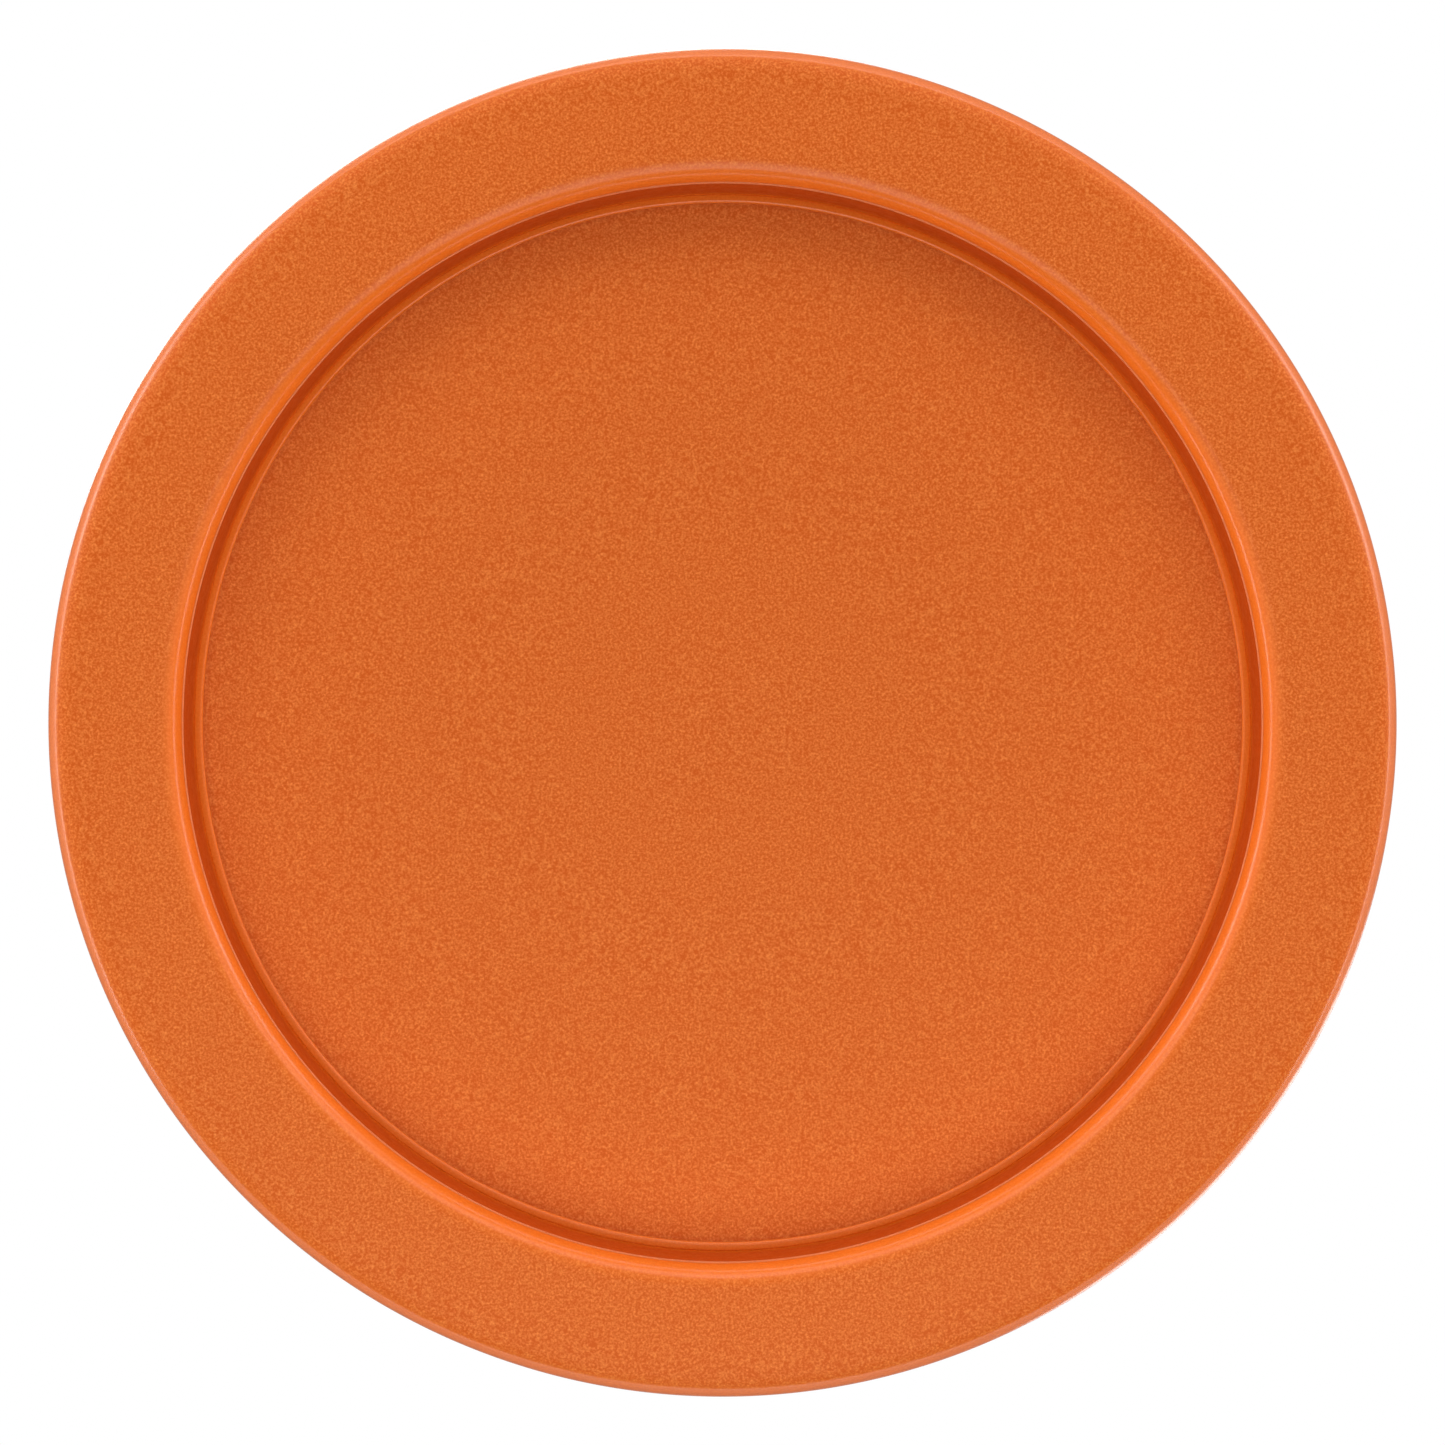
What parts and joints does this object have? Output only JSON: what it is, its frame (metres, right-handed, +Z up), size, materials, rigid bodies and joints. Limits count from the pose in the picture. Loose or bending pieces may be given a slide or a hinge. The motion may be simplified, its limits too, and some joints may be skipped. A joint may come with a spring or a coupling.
{
  "type": "flying disc",
  "caption": "Round golf-type flying disc: a thin domed flight plate in a deep, blunt-nosed rim, with a hollow underneath whose upright inner wall is the grip.",
  "frame": {"origin": "middle of the plane that the disc rests on when it lies rim down", "axes": "+Z up along the disc's axis of revolution, from the open hollow towards the domed top; X and Y lie in the rest plane"},
  "size_m": [0.2111, 0.2112, 0.0152],
  "materials": {
    "plate_plastic": "matte",
    "rim_plastic": "matte"
  },
  "bodies": {
    "root": {"flight_plate": "plate_plastic", "rim": "rim_plastic"}
  },
  "joints": []
}
